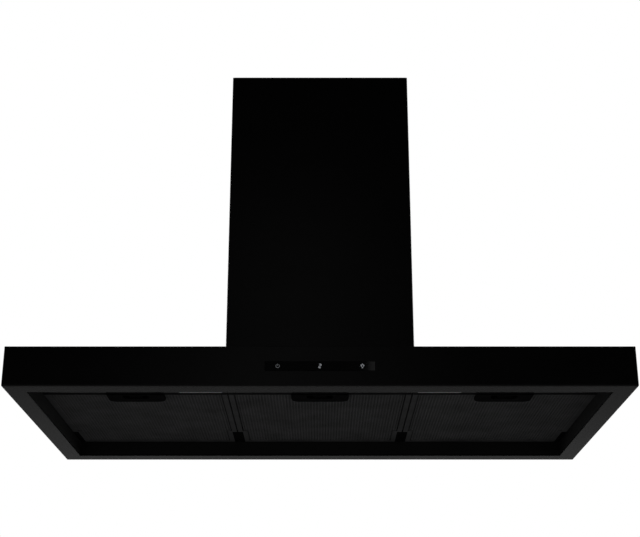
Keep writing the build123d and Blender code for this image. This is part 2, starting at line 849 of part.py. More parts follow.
def damper_flap(name, side):
    """A half-round flap with two knuckles that turn on its pin."""
    plate_start = damper_pin_y + 3.6
    with BuildPart() as flap:
        with BuildSketch(Plane.XY.offset(damper_z - flap_thickness / 2)) as plan:
            Circle(flap_radius)
            with Locations((0, side * (plate_start + flap_radius) / 2)):
                Rectangle(2 * flap_radius, flap_radius - plate_start, mode=Mode.INTERSECT)
            with Locations((0, side * (damper_pin_y + plate_start) / 2)):
                Rectangle(2 * knuckle_far, plate_start - damper_pin_y)
        extrude(amount=flap_thickness)
        rod((-knuckle_far, side * damper_pin_y, damper_z), (1, 0, 0), knuckle_radius, 2 * knuckle_far)
        block(
            (-knuckle_near, knuckle_near),
            (0, side * plate_start),
            (damper_z - 4, damper_z + 4),
            Mode.SUBTRACT,
        )
        for end in (-1, 1):
            block(
                (end * (knuckle_far + 0.5), end * flap_radius),
                (0, side * flap_corner_cut),
                (damper_z - 4, damper_z + 4),
                Mode.SUBTRACT,
            )
        bore = damper_pin_radius + pivot_clearance
        start = (-knuckle_far - 1, side * damper_pin_y, damper_z)
        rod(start, (1, 0, 0), bore, 2 * knuckle_far + 2, Mode.SUBTRACT)
    save(flap, name)


damper_flap("damper_front", -1)
damper_flap("damper_rear", 1)

# --- Grease filters ---------------------------------------------------------------------------


def filter_plan(middle, level, inset):
    """Plan of a filter, shrunk inside its edges, with a notch at each rear corner."""
    low = filter_front + inset
    high = filter_back - inset
    half = filter_width / 2 - inset
    with BuildSketch(Plane.XY.offset(level)) as plan:
        with Locations((middle, (low + high) / 2)):
            Rectangle(2 * half, high - low)
        notch_start = notch_front - inset
        for side in (-1, 1):
            edge = notch_side - inset
            with Locations((middle + side * (edge + half) / 2, (notch_start + high) / 2)):
                Rectangle(half - edge, high - notch_start, mode=Mode.SUBTRACT)
    return plan.sketch


def handle_plan(middle, level):
    """Plan of the handle, square at the filter's front edge and round at its rear corners."""
    with BuildSketch(Plane.XY.offset(level)) as plan:
        with Locations((middle, (handle_front + handle_back) / 2)):
            Rectangle(handle_width, handle_back - handle_front)
        fillet(plan.vertices().group_by(Axis.Y)[-1], radius=handle_corner)
    return plan.sketch


def filter_frame(name, middle):
    """Channel-section frame with a pivot lug in each rear notch and a window for the latch."""
    with BuildPart() as frame:
        extrude(filter_plan(middle, filter_bottom, 0), amount=filter_thickness)
        opening = filter_plan(middle, filter_bottom, filter_border)
        extrude(opening, amount=filter_thickness, mode=Mode.SUBTRACT)
        cavity = filter_plan(middle, filter_bottom + filter_sheet, filter_sheet)
        extrude(cavity, amount=filter_thickness - 2 * filter_sheet, mode=Mode.SUBTRACT)
        handle = handle_plan(middle, filter_bottom)
        extrude(handle, amount=handle_top - filter_bottom, mode=Mode.SUBTRACT)
        block(
            (middle - latch_half - 0.5, middle + latch_half + 0.5),
            (filter_front - 1, filter_front + 2),
            (latch_bottom - 0.4, latch_top + 0.4),
            Mode.SUBTRACT,
        )
        for side in (-1, 1):
            root = (middle + side * (notch_side - 0.4), pivot_y, pivot_z)
            rod(root, (side, 0, 0), lug_radius, lug_length + 0.4)
    save(frame, name)


def filter_mesh(name, middle):
    """The lower and upper grease mesh sheets, which sit in the frame's channel."""
    with BuildPart() as mesh:
        for level in (filter_bottom + filter_sheet, filter_top - 2 * filter_sheet):
            extrude(filter_plan(middle, level, filter_sheet), amount=filter_sheet)
        handle = handle_plan(middle, filter_bottom)
        extrude(handle, amount=filter_thickness, mode=Mode.SUBTRACT)
    save(mesh, name)


def handle_bezel(name, middle):
    """Moulded handle with a finger recess and a guide for the sliding latch."""
    with BuildPart() as bezel:
        extrude(handle_plan(middle, handle_bottom), amount=handle_top - handle_bottom)
        fillet(bezel.faces().sort_by(Axis.Z)[0].edges(), radius=handle_edge)
        with BuildSketch(Plane.XY.offset(handle_bottom)) as recess:
            with Locations((middle, (finger_front + finger_back) / 2)):
                RectangleRounded(2 * finger_half, finger_back - finger_front, 4)
        extrude(recess.sketch, amount=finger_roof - handle_bottom, mode=Mode.SUBTRACT)
        block(
            (middle - latch_half - latch_gap, middle + latch_half + latch_gap),
            (handle_front, latch_pocket_back),
            (latch_bottom - latch_gap, latch_top + latch_gap),
            Mode.SUBTRACT,
        )
    save(bezel, name)


def filter_latch(name, middle):
    """Sliding latch: a bevelled tongue in front, and a tab for the finger in the recess."""
    with BuildPart() as latch:
        width = (middle - latch_half, middle + latch_half)
        block(width, (latch_tip, latch_back), (latch_bottom, latch_top))
        chamfer(latch.edges().group_by(Axis.Y)[0].sort_by(Axis.Z)[-1], length=1.4)
        tab = (latch_tab_front, latch_tab_front + 3)
        block(width, tab, (handle_bottom + 0.6, latch_bottom))
    save(latch, name)


for side_name, middle in filter_names.items():
    filter_frame(f"filter_frame_{side_name}", middle)
    filter_mesh(f"filter_mesh_{side_name}", middle)
    handle_bezel(f"handle_bezel_{side_name}", middle)
    filter_latch(f"filter_latch_{side_name}", middle)
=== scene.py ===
"""Looks of a black island range hood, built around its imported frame.

Metres, in the frame's axes: the ceiling is z = 0, +Z is up, the front face looks towards -Y.
"""

import json
import math

import bpy
import numpy as np
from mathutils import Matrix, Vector


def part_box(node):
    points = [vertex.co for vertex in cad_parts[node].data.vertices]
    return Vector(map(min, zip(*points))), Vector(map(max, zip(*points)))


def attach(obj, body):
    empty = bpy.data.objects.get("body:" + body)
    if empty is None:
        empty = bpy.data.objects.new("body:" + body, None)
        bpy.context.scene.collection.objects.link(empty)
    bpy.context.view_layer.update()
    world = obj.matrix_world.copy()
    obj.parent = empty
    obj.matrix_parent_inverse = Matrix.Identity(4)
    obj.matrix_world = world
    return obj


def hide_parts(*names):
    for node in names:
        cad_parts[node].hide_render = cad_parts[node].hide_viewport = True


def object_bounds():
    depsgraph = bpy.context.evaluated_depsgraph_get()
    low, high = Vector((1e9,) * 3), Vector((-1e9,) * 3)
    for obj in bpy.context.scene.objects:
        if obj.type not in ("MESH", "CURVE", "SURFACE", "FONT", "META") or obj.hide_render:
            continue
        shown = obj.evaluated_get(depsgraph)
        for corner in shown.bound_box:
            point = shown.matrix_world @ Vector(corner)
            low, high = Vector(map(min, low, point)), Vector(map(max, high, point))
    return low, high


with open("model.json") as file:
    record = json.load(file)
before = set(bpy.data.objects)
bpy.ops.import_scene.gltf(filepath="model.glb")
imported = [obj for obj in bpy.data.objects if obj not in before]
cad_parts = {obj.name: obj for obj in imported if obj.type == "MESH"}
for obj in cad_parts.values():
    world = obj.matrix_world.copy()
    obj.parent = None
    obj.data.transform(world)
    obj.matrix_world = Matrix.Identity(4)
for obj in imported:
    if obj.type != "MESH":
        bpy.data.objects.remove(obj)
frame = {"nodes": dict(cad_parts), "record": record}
cad_low, cad_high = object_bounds()
nodes = frame["nodes"]
MM = 0.001
SIDES = ("left", "center", "right")
RIM_ROUGHNESS = 0.24
WALL_ROUGHNESS = 0.6
RIM_HEIGHT = 1.6 * MM
RIM_BLEND = 2 * MM
PAINT_PEEL = 0.9 * MM
PAINT_RELIEF = 0.012 * MM

# --- Node and material helpers ------------------------------------------------------------------


def add(tree, kind, values=None, **settings):
    """A shader node with its settings and socket values."""
    node = tree.nodes.new(kind)
    for key, value in settings.items():
        setattr(node, key, value)
    for key, value in (values or {}).items():
        node.inputs[key].default_value = value
    return node


def new_material(name, **values):
    """A material with one Principled shader, and object coordinates to place its detail."""
    material = bpy.data.materials.new(name)
    material.use_nodes = True
    tree = material.node_tree
    shader = tree.nodes["Principled BSDF"]
    for key, value in values.items():
        shader.inputs[key.replace("_", " ")].default_value = value
    coordinates = add(tree, "ShaderNodeTexCoord").outputs["Object"]
    return material, tree, shader, coordinates


def noise(tree, coordinates, size, detail=3.0, stretch=(1, 1, 1)):
    """Noise whose blobs are about this many metres across, stretched along an axis if asked."""
    mapping = add(tree, "ShaderNodeMapping", {"Scale": stretch})
    texture = add(tree, "ShaderNodeTexNoise", {"Scale": 1 / size, "Detail": detail, "Roughness": 0.55})
    tree.links.new(coordinates, mapping.inputs["Vector"])
    tree.links.new(mapping.outputs["Vector"], texture.inputs["Vector"])
    return texture.outputs["Fac"]


def remap(tree, value, low, high, start=0.3, end=0.7):
    """A value moved from one range to another, clamped."""
    limits = {"From Min": start, "From Max": end, "To Min": low, "To Max": high}
    node = add(tree, "ShaderNodeMapRange", limits)
    tree.links.new(value, node.inputs["Value"])
    return node.outputs["Result"]


def math_node(tree, operation, *values):
    """The result of one sum, product or the like, of sockets and numbers."""
    node = add(tree, "ShaderNodeMath", operation=operation)
    for index, value in enumerate(values):
        if isinstance(value, bpy.types.NodeSocket):
            tree.links.new(value, node.inputs[index])
        else:
            node.inputs[index].default_value = value
    return node.outputs["Value"]


def mix_colors(tree, factor, first, second):
    """Two colours mixed by a factor, each a colour or a socket."""
    node = add(tree, "ShaderNodeMix", data_type="RGBA")
    tree.links.new(factor, node.inputs["Factor"])
    for name, value in (("A", first), ("B", second)):
        sockets = [s for s in node.inputs if s.name == name and s.type == "RGBA"]
        if isinstance(value, bpy.types.NodeSocket):
            tree.links.new(value, sockets[0])
        else:
            sockets[0].default_value = (*value, 1.0)
    return [s for s in node.outputs if s.type == "RGBA"][0]


def bump(tree, shader, height, depth, strength=1.0, under=None):
    """Relief of a given depth in metres on a shader, added to any relief under it."""
    node = add(tree, "ShaderNodeBump", {"Strength": strength, "Distance": depth})
    tree.links.new(height, node.inputs["Height"])
    if under is not None:
        tree.links.new(under, node.inputs["Normal"])
    tree.links.new(node.outputs["Normal"], shader.inputs["Normal"])
    return node.outputs["Normal"]


def paint(name, color, roughness):
    """Mottled paint with fine orange peel, and the socket of a gloss with soft wiping marks."""
    material, tree, shader, where = new_material(name, Specular_IOR_Level=0.5)
    mottle = remap(tree, noise(tree, where, 30 * MM, 4.0), 0.0, 1.0, 0.35, 0.65)
    pale = tuple(channel * 1.3 for channel in color)
    tree.links.new(mix_colors(tree, mottle, color, pale), shader.inputs["Base Color"])
    wiped = noise(tree, where, 120 * MM, 5.0, (1.0, 1.0, 3.0))
    gloss = remap(tree, wiped, roughness - 0.015, roughness + 0.02)
    bump(tree, shader, noise(tree, where, PAINT_PEEL, 2.0), PAINT_RELIEF)
    return material, tree, shader, where, gloss


def powder_coat(name, color, roughness):
    """The canopy's and chimney's baked paint, and the same paint on screws."""
    material, tree, shader, _, gloss = paint(name, color, roughness)
    tree.links.new(gloss, shader.inputs["Roughness"])
    return material


def rim_coat(name, color):
    """The canopy's paint on its rim, turning matt on the walls of the recess above it."""
    material, tree, shader, where, gloss = paint(name, color, RIM_ROUGHNESS)
    level = add(tree, "ShaderNodeSeparateXYZ")
    tree.links.new(where, level.inputs["Vector"])
    rim_top = cad_low.z + RIM_HEIGHT
    rougher = WALL_ROUGHNESS - RIM_ROUGHNESS
    matt = remap(tree, level.outputs["Z"], 0.0, rougher, rim_top, rim_top + RIM_BLEND)
    tree.links.new(math_node(tree, "ADD", gloss, matt), shader.inputs["Roughness"])
    return material


def moulded(name, color, roughness, grain=0.5 * MM, relief=0.02 * MM, **values):
    """Moulded plastic or rubber with a fine spark-eroded grain."""
    material, tree, shader, where = new_material(name, **values)
    patches = remap(tree, noise(tree, where, 25 * MM), 0.0, 1.0)
    pale = tuple(channel * 1.35 + 0.001 for channel in color)
    tree.links.new(mix_colors(tree, patches, color, pale), shader.inputs["Base Color"])
    gloss = remap(tree, noise(tree, where, 9 * MM, 4.0), roughness - 0.06, roughness + 0.08)
    tree.links.new(gloss, shader.inputs["Roughness"])
    cells = add(tree, "ShaderNodeTexVoronoi", {"Scale": 1 / grain}, feature="SMOOTH_F1")
    tree.links.new(where, cells.inputs["Vector"])
    bump(tree, shader, cells.outputs["Distance"], relief)
    return material


def galvanised(name, color=(0.42, 0.43, 0.44)):
    """Zinc-coated sheet: flat crystal spangles that differ in tone and gloss."""
    material, tree, shader, where = new_material(name, Metallic=1.0)
    spangle = add(tree, "ShaderNodeTexVoronoi", {"Scale": 1 / (7 * MM), "Randomness": 1.0})
    warp = add(tree, "ShaderNodeTexNoise", {"Scale": 1 / (12 * MM), "Detail": 2.0})
    shift = add(tree, "ShaderNodeVectorMath", operation="MULTIPLY_ADD")
    shift.inputs[1].default_value = (0.004, 0.004, 0.004)
    tree.links.new(where, warp.inputs["Vector"])
    tree.links.new(warp.outputs["Color"], shift.inputs[0])
    tree.links.new(where, shift.inputs[2])
    tree.links.new(shift.outputs["Vector"], spangle.inputs["Vector"])
    tone = add(tree, "ShaderNodeSeparateColor")
    tree.links.new(spangle.outputs["Color"], tone.inputs["Color"])
    dark = tuple(channel * 0.72 for channel in color)
    tree.links.new(mix_colors(tree, tone.outputs["Red"], dark, color), shader.inputs["Base Color"])
    tree.links.new(remap(tree, tone.outputs["Green"], 0.28, 0.5, 0.0, 1.0), shader.inputs["Roughness"])
    bump(tree, shader, noise(tree, where, 0.8 * MM, 2.0), 0.008 * MM)
    return material


def machined(name, color, roughness, stretch):
    """Turned or drawn metal with fine lines across one axis."""
    material, tree, shader, where = new_material(name, Metallic=1.0)
    lines = noise(tree, where, 0.6 * MM, 3.0, stretch)
    dark = tuple(channel * 0.75 for channel in color)
    tree.links.new(mix_colors(tree, lines, dark, color), shader.inputs["Base Color"])
    tree.links.new(remap(tree, lines, roughness - 0.06, roughness + 0.1), shader.inputs["Roughness"])
    bump(tree, shader, lines, 0.01 * MM)
    return material


def anodised(name, color, roughness, specular):
    """Black anodised aluminium: a matt oxide skin with rolled grain."""
    material, tree, shader, where = new_material(name, Specular_IOR_Level=specular)
    grain = noise(tree, where, 1.4 * MM, 3.0, (1.0, 0.12, 1.0))
    haze = noise(tree, where, 45 * MM, 3.0)
    pale = tuple(channel * 1.5 for channel in color)
    tone = mix_colors(tree, remap(tree, haze, 0.0, 1.0), color, pale)
    tree.links.new(tone, shader.inputs["Base Color"])
    tree.links.new(remap(tree, grain, roughness - 0.05, roughness + 0.08), shader.inputs["Roughness"])
    bump(tree, shader, grain, 0.01 * MM)
    return material


def circuit_board(name, color):
    """Solder mask over copper tracks, which show as a slightly paler relief."""
    material, tree, shader, where = new_material(name, Roughness=0.35)
    tracks = add(tree, "ShaderNodeTexBrick", {"Scale": 1 / (9 * MM), "Mortar Size": 0.06, "Bias": -0.4})
    tree.links.new(where, tracks.inputs["Vector"])
    pale = tuple(min(1.0, channel * 1.8 + 0.01) for channel in color)
    tree.links.new(mix_colors(tree, tracks.outputs["Fac"], color, pale), shader.inputs["Base Color"])
    bump(tree, shader, tracks.outputs["Fac"], 0.03 * MM)
    return material


def black_glass(name):
    """Back-printed touch glass: nearly black, polished, with faint finger marks in its gloss."""
    material, tree, shader, where = new_material(name, Base_Color=(0.014, 0.014, 0.0145, 1.0))
    shader.inputs["Coat Weight"].default_value = 0.3
    shader.inputs["Coat Roughness"].default_value = 0.04
    marks = noise(tree, where, 14 * MM, 4.0)
    tree.links.new(remap(tree, marks, 0.05, 0.08, 0.45, 0.75), shader.inputs["Roughness"])
    return material


def opal(name):
    """Opal acrylic window: a milky skin over a faintly prismatic back."""
    material, tree, shader, where = new_material(name)
    shader.inputs["Subsurface Weight"].default_value = 0.25
    shader.inputs["Subsurface Scale"].default_value = 0.004
    prisms = add(tree, "ShaderNodeTexWave", {"Scale": 1 / (6 * MM), "Distortion": 0.0})
    tree.links.new(where, prisms.inputs["Vector"])
    tone = mix_colors(tree, prisms.outputs["Fac"], (0.82, 0.83, 0.84), (0.9, 0.91, 0.92))
    tree.links.new(tone, shader.inputs["Base Color"])
    tree.links.new(remap(tree, noise(tree, where, 5 * MM), 0.3, 0.42), shader.inputs["Roughness"])
    bump(tree, shader, prisms.outputs["Fac"], 0.02 * MM, 0.4)
    return material


def glow(name, color, strength):
    """A printed mark lit from behind."""
    material, tree, shader, where = new_material(name, Roughness=0.3, Emission_Strength=strength)
    shader.inputs["Base Color"].default_value = (0.05, 0.05, 0.05, 1.0)
    uneven = remap(tree, noise(tree, where, 2.5 * MM), 0.0, 1.0)
    dim = tuple(channel * 0.8 for channel in color)
    tree.links.new(mix_colors(tree, uneven, dim, color), shader.inputs["Emission Color"])
    return material


def make_materials():
    """Every material slot of the record, and the marks and grease mesh that only show here."""
    return {
        "black_paint": powder_coat("black_paint", (0.0010, 0.0010, 0.0012), 0.33),
        "rim_paint": rim_coat("rim_paint", (0.002, 0.002, 0.0022)),
        "filter_metal": anodised("filter_metal", (0.105, 0.105, 0.107), 0.6, 0.1),
        "filter_mesh": anodised("filter_mesh", (0.135, 0.135, 0.137), 0.6, 0.15),
        "mesh_core": anodised("mesh_core", (0.085, 0.085, 0.087), 0.6, 0.15),
        "black_plastic": moulded("black_plastic", (0.008, 0.008, 0.0083), 0.6, Specular_IOR_Level=0.01),
        "latch_plastic": moulded("latch_plastic", (0.012, 0.012, 0.0125), 0.6, Specular_IOR_Level=0.03),
        "black_glass": black_glass("black_glass"),
        "display_module": moulded("display_module", (0.02, 0.02, 0.022), 0.3),
        "light_guide": moulded("light_guide", (0.6, 0.63, 0.66), 0.2),
        "opal_lens": opal("opal_lens"),
        "white_board": circuit_board("white_board", (0.6, 0.6, 0.58)),
        "green_board": circuit_board("green_board", (0.012, 0.09, 0.035)),
        "white_plastic": moulded("white_plastic", (0.55, 0.55, 0.53), 0.45),
        "blower_plastic": moulded("blower_plastic", (0.035, 0.035, 0.038), 0.5, 0.9 * MM),
        "flap_plastic": moulded("flap_plastic", (0.08, 0.08, 0.082), 0.5, 0.9 * MM),
        "motor_metal": machined("motor_metal", (0.36, 0.36, 0.37), 0.42, (0.1, 1, 1)),
        "bright_steel": machined("bright_steel", (0.5, 0.5, 0.5), 0.25, (6, 1, 1)),
        "galvanised_steel": galvanised("galvanised_steel"),
        "zinc_screws": machined("zinc_screws", (0.48, 0.48, 0.45), 0.3, (1, 1, 1)),
        "black_screws": powder_coat("black_screws", (0.004, 0.004, 0.0042), 0.35),
        "black_rubber": moulded("black_rubber", (0.008, 0.008, 0.008), 0.8, 0.6 * MM),
        "lit_mark": glow("lit_mark", (0.9, 0.94, 1.0), 0.36),
        "dim_mark": glow("dim_mark", (0.9, 0.94, 1.0), 0.12),
    }


materials = make_materials()
node_slots = {part["node"]: part["material_slot"] for part in frame["record"]["subparts"]}


def dress(piece, slot):
    """Give a piece one material, in place of any that it has."""
    if not piece.data.materials:
        piece.data.materials.append(materials[slot])
    for index in range(len(piece.data.materials)):
        piece.data.materials[index] = materials[slot]


def round_edges(piece, width):
    """Break a sheet or moulded part's sharp edges, so that they catch light as real ones do."""
    weld = piece.modifiers.new("weld", "WELD")
    weld.merge_threshold = 0.00001
    bevel = piece.modifiers.new("bevel", "BEVEL")
    bevel.width = width
    bevel.segments = 2
    bevel.limit_method = "ANGLE"
    bevel.angle_limit = math.radians(40)
    bevel.use_clamp_overlap = True
    bevel.harden_normals = False
    normals = piece.modifiers.new("normals", "WEIGHTED_NORMAL")
    normals.keep_sharp = True


EDGE_WIDTHS = {
    "canopy_shell": 0.45,
    "front_fascia": 0.45,
    "underside_frame": 0.4,
    "lower_chimney_front": 0.25,
    "lower_chimney_rear": 0.25,
    "upper_chimney_front": 0.25,
    "upper_chimney_rear": 0.25,
    "light_panel": 0.3,
    "filter_dividers": 0.3,
    "filter_keepers": 0.5,
    "control_glass": 0.25,
    "ceiling_plate": 0.3,
    "electronics_box": 0.3,
    "electronics_cover": 0.3,
    "terminal_block": 0.4,
}

for name, node in nodes.items():
    dress(node, node_slots[name])
    if name in EDGE_WIDTHS:
        round_edges(node, EDGE_WIDTHS[name] * MM)

# --- Mesh helpers ---------------------------------------------------------------------------------


def build(name, vertices, faces, slot, body, record_slot=None):
    """A new mesh piece from its points and faces, dressed, and riding on a body."""
    mesh = bpy.data.meshes.new(name)
    mesh.from_pydata([tuple(v) for v in vertices], [], [tuple(f) for f in faces])
    mesh.validate()
    mesh.update()
    piece = bpy.data.objects.new(name, mesh)
    bpy.context.scene.collection.objects.link(piece)
    dress(piece, slot)
    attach(piece, body)
    return piece


def prism(outline, near, far):
    """Points and faces of an outline in X and Z made solid between two depths in Y."""
    count = len(outline)
    vertices = [(x, near, z) for x, z in outline] + [(x, far, z) for x, z in outline]
    faces = [tuple(range(count)), tuple(range(2 * count - 1, count - 1, -1))]
    for index in range(count):
        after = (index + 1) % count
        faces.append((index, index + count, after + count, after))
    return vertices, faces


def join(solids):
    """Several point and face lists as one."""
    vertices, faces = [], []
    for points, sides in solids:
        shift = len(vertices)
        vertices += list(points)
        faces += [tuple(index + shift for index in side) for side in sides]
    return vertices, faces


def arc_band(middle, radius, width, start, end, steps=24):
    """Outline of a ring, or of part of one, about a point in X and Z. Angles are in degrees."""
    angles = [math.radians(start + (end - start) * i / steps) for i in range(steps + 1)]
    x, z = middle
    outside, inside = radius + width / 2, radius - width / 2
    outer = [(x + outside * math.cos(a), z + outside * math.sin(a)) for a in angles]
    inner = [(x + inside * math.cos(a), z + inside * math.sin(a)) for a in angles]
    return outer + inner[::-1]


def bar(start, end, width):
    """Outline of a straight stroke between two points in X and Z."""
    along = Vector((end[0] - start[0], end[1] - start[1])).normalized()
    across = Vector((-along.y, along.x)) * width / 2
    first, last = Vector(start), Vector(end)
    corners = (first + across, last + across, last - across, first - across)
    return [(corner.x, corner.y) for corner in corners]


# --- Marks on the touch strip ---------------------------------------------------------------------

MARK_RELIEF = 0.1 * MM
ICON_RADIUS = 3.6 * MM
MARK_STROKE = 0.6 * MM

glass_low, glass_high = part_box("control_glass")
icons_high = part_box("touch_icons")[1]
mark_back = glass_low.y
mark_front = glass_low.y - MARK_RELIEF
mark_z = (glass_low.z + glass_high.z) / 2
icon_x = icons_high.x - ICON_RADIUS


def power_mark():
    """An open ring with a stroke through its gap."""
    centre = (-icon_x, mark_z)
    ring = arc_band(centre, 2.5 * MM, MARK_STROKE, 120, 420)
    foot = (centre[0], centre[1] + 0.6 * MM)
    head = (centre[0], centre[1] + 3.4 * MM)
    stroke = bar(foot, head, MARK_STROKE)
    solids = [prism(outline, mark_front, mark_back) for outline in (ring, stroke)]
    build("power_mark", *join(solids), "dim_mark", "hood", "light_guide")


def lamp_mark():
    """A small lamp: a round bulb, its cap, and rays around it."""
    centre = (icon_x, mark_z + 0.3 * MM)
    outlines = [arc_band(centre, 1.6 * MM, MARK_STROKE, -60, 240)]
    cap = centre[1] - 2.2 * MM
    for level in (cap, cap - 0.9 * MM):
        left, right = centre[0] - 0.9 * MM, centre[0] + 0.9 * MM
        outlines.append(bar((left, level), (right, level), 0.5 * MM))
    for step in range(5):
        turn = math.radians(step * 45)
        way = Vector((math.cos(turn), math.sin(turn)))
        start = Vector(centre) + way * 2.5 * MM
        end = Vector(centre) + way * 3.4 * MM
        outlines.append(bar(tuple(start), tuple(end), 0.45 * MM))
    solids = [prism(outline, mark_front, mark_back) for outline in outlines]
    build("lamp_mark", *join(solids), "lit_mark", "hood", "light_guide")


def digit_mark():
    """One seven-segment digit, leaning slightly, with the segments of a two lit."""
    half_wide = 1.5 * MM
    half_tall = 3.1 * MM
    stroke = 0.8 * MM
    gap = 0.25 * MM
    lean = 0.1

    def place(x, z):
        return (x + lean * z, mark_z + z)

    def across(level):
        return bar(place(-half_wide + gap, level), place(half_wide - gap, level), stroke)

    def upright(side, low, high):
        return bar(place(side * half_wide, low + gap), place(side * half_wide, high - gap), stroke)

    inset = half_tall - stroke / 2
    outlines = [across(inset), across(0), across(-inset)]
    outlines += [upright(1, stroke / 2, inset), upright(-1, -inset, -stroke / 2)]
    solids = [prism(outline, mark_front, mark_back) for outline in outlines]
    build("digit_mark", *join(solids), "lit_mark", "hood", "display_module")


power_mark()
lamp_mark()
digit_mark()

# --- Grease filters -------------------------------------------------------------------------------

BORDER = 8.0 * MM
EDGE_SLOT = 1.8 * MM
HEM = 1.4 * MM
CELL_COLUMN = 4.7 * MM
CELL_ROW = 5.4 * MM
HOLE_SHARE = 0.62
HANDLE_CORNER = 12.0 * MM
NOTCH = 7.95 * MM
# Gap round the dark sheets of painted shade along each filter's front border.
SHADE_SHEET_GAP = 0.3 * MM
CORE_SHARES = (0.2, 0.4, 0.6)


class FilterPlan:
    """Where one filter's mesh may go: inside its frame's border, round its handle and keepers."""

    def __init__(self, side):
        frame_low, frame_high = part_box(f"filter_frame_{side}")
        mesh_low, mesh_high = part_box(f"filter_mesh_{side}")
        left = EDGE_SLOT if side != "left" else 0.0
        right = EDGE_SLOT if side != "right" else 0.0
        self.low = frame_low + Vector((BORDER + left, BORDER, 0))
        self.high = frame_high - Vector((BORDER + right, BORDER, 0))
        self.bottom, self.top = mesh_low.z, mesh_high.z
        self.frame_low, self.frame_high = frame_low, frame_high
        self.middle = (frame_low.x + frame_high.x) / 2
        self.handle_low, self.handle_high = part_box(f"handle_bezel_{side}")
        keeper_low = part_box("filter_keepers")[0]
        notch = (frame_high.x - frame_low.x) / 2 - NOTCH - BORDER
        self.notch_left = self.middle - notch + left
        self.notch_right = self.middle + notch - right
        self.notch_y = keeper_low.y - 2 * MM - BORDER

    def depth_limit(self, x):
        """The furthest back that the mesh reaches at an x."""
        inside = self.notch_left <= x <= self.notch_right
        return self.high.y if inside else self.notch_y

    def front_limit(self, x):
        """The furthest forward that the mesh reaches at an x, behind the handle or the frame."""
        half = (self.handle_high.x - self.handle_low.x) / 2
        aside = abs(x - self.middle) - (half - HANDLE_CORNER)
        if aside > HANDLE_CORNER:
            return self.low.y
        drop = HANDLE_CORNER - math.sqrt(HANDLE_CORNER**2 - max(0.0, aside) ** 2)
        return self.handle_high.y - drop


def lattice(plan, column, row, inset):
    """Centres of a staggered grid of cells that lie in the mesh's outline."""
    columns = round((plan.high.x - plan.low.x) / column)
    pitch = (plan.high.x - plan.low.x) / columns
    rows = round((plan.high.y - plan.low.y) / row)
    step = (plan.high.y - plan.low.y) / rows
    centres = []
    for i in range(columns):
        x = plan.low.x + (i + 0.5) * pitch
        for j in range(rows + 1):
            y = plan.low.y + (j + (0.5 if i % 2 else 0.0)) * step
            if plan.front_limit(x) + inset < y < plan.depth_limit(x) - inset:
                centres.append((x, y))
    return np.array(centres), pitch, step


def hexagon(pitch, step, share):
    """Corners of a cell about its centre: long across X, and shared with its neighbours."""
    reach = pitch * 2 / 3 * share
    half = step / 2 * share
    return np.array([
        (reach, 0.0),
        (reach / 2, half),
        (-reach / 2, half),
        (-reach, 0.0),
        (-reach / 2, -half),
        (reach / 2, -half),
    ])


def expanded_sheet(plan, column, row, levels, share):
    """A pierced sheet with raised strands between its staggered holes.

    levels are the heights of the strand's crown, the hole's lip on that face, the hole's lip on
    the other face, and the strand's other face.
    """
    centres, pitch, step = lattice(plan, column, row, 1.6 * MM)
    outer = hexagon(pitch, step, 1.0)
    inner = hexagon(pitch, step, share)
    rings = [(outer, levels[0]), (inner, levels[1]), (inner, levels[2]), (outer, levels[3])]
    low = np.array((plan.low.x, plan.low.y))
    high = np.array((plan.high.x, plan.high.y))
    layers = []
    for ring, level in rings:
        flat = np.clip(centres[:, None, :] + ring[None, :, :], low, high)
        height = np.full((len(centres), 6, 1), level)
        layers.append(np.concatenate([flat, height], axis=2))
    points = np.stack(layers, axis=1).reshape(-1, 3)
    corners = np.arange(6)
    after = (corners + 1) % 6
    quads = []
    for ring in range(3):
        near, far = ring * 6, ring * 6 + 6
        sides = [near + corners, near + after, far + after, far + corners]
        quads.append(np.stack(sides, axis=1))
    cell = np.concatenate(quads)
    faces = (cell[None, :, :] + (np.arange(len(centres)) * 24)[:, None, None]).reshape(-1, 4)
    if levels[0] < levels[3]:
        faces = faces[:, ::-1]
    return points.tolist(), faces.tolist()


def slab(x0, x1, y0, y1, z0, z1):
    """Points and faces of a flat strip."""
    corners = [(x, y, z) for z in (z0, z1) for x, y in ((x0, y0), (x1, y0), (x1, y1), (x0, y1))]
    sides = [(0, 3, 2, 1), (4, 5, 6, 7), (0, 1, 5, 4), (1, 2, 6, 5), (2, 3, 7, 6), (3, 0, 4, 7)]
    return corners, sides


def hem(plan, bottom, top):
    """Flat strips round a sheet's edges, where it isn't pierced."""
    low, high = plan.low, plan.high
    left, right = plan.handle_low.x, plan.handle_high.x
    inner = (plan.notch_left, plan.notch_right)
    strips = [
        (low.x, left, low.y, low.y + HEM),
        (right, high.x, low.y, low.y + HEM),
        (inner[0], inner[1], high.y - HEM, high.y),
        (low.x, low.x + HEM, low.y, plan.notch_y),
        (high.x - HEM, high.x, low.y, plan.notch_y),
        (low.x, inner[0], plan.notch_y - HEM, plan.notch_y),
        (inner[1], high.x, plan.notch_y - HEM, plan.notch_y),
        (inner[0], inner[0] + HEM, plan.notch_y, high.y),
        (inner[1] - HEM, inner[1], plan.notch_y, high.y),
    ]
    return join([slab(*strip, bottom, top) for strip in strips])


def front_shade_sheet(plan, side):
    """A dull black sheet along the frame's front border, on each side of the handle: painted shade,
    standing in for the shade that the canopy's front rim casts on the filter there.
    """
    low, high = plan.frame_low, plan.frame_high
    back = low.y + BORDER + 1.2 * MM
    levels = (low.z - SHADE_SHEET_GAP, low.z)
    solids = [
        slab(low.x, plan.handle_low.x - SHADE_SHEET_GAP, low.y, back, *levels),
        slab(plan.handle_high.x + SHADE_SHEET_GAP, high.x, low.y, back, *levels),
    ]
    build(f"front_painted_shade_{side}", *join(solids), "latch_plastic", f"filter_{side}")


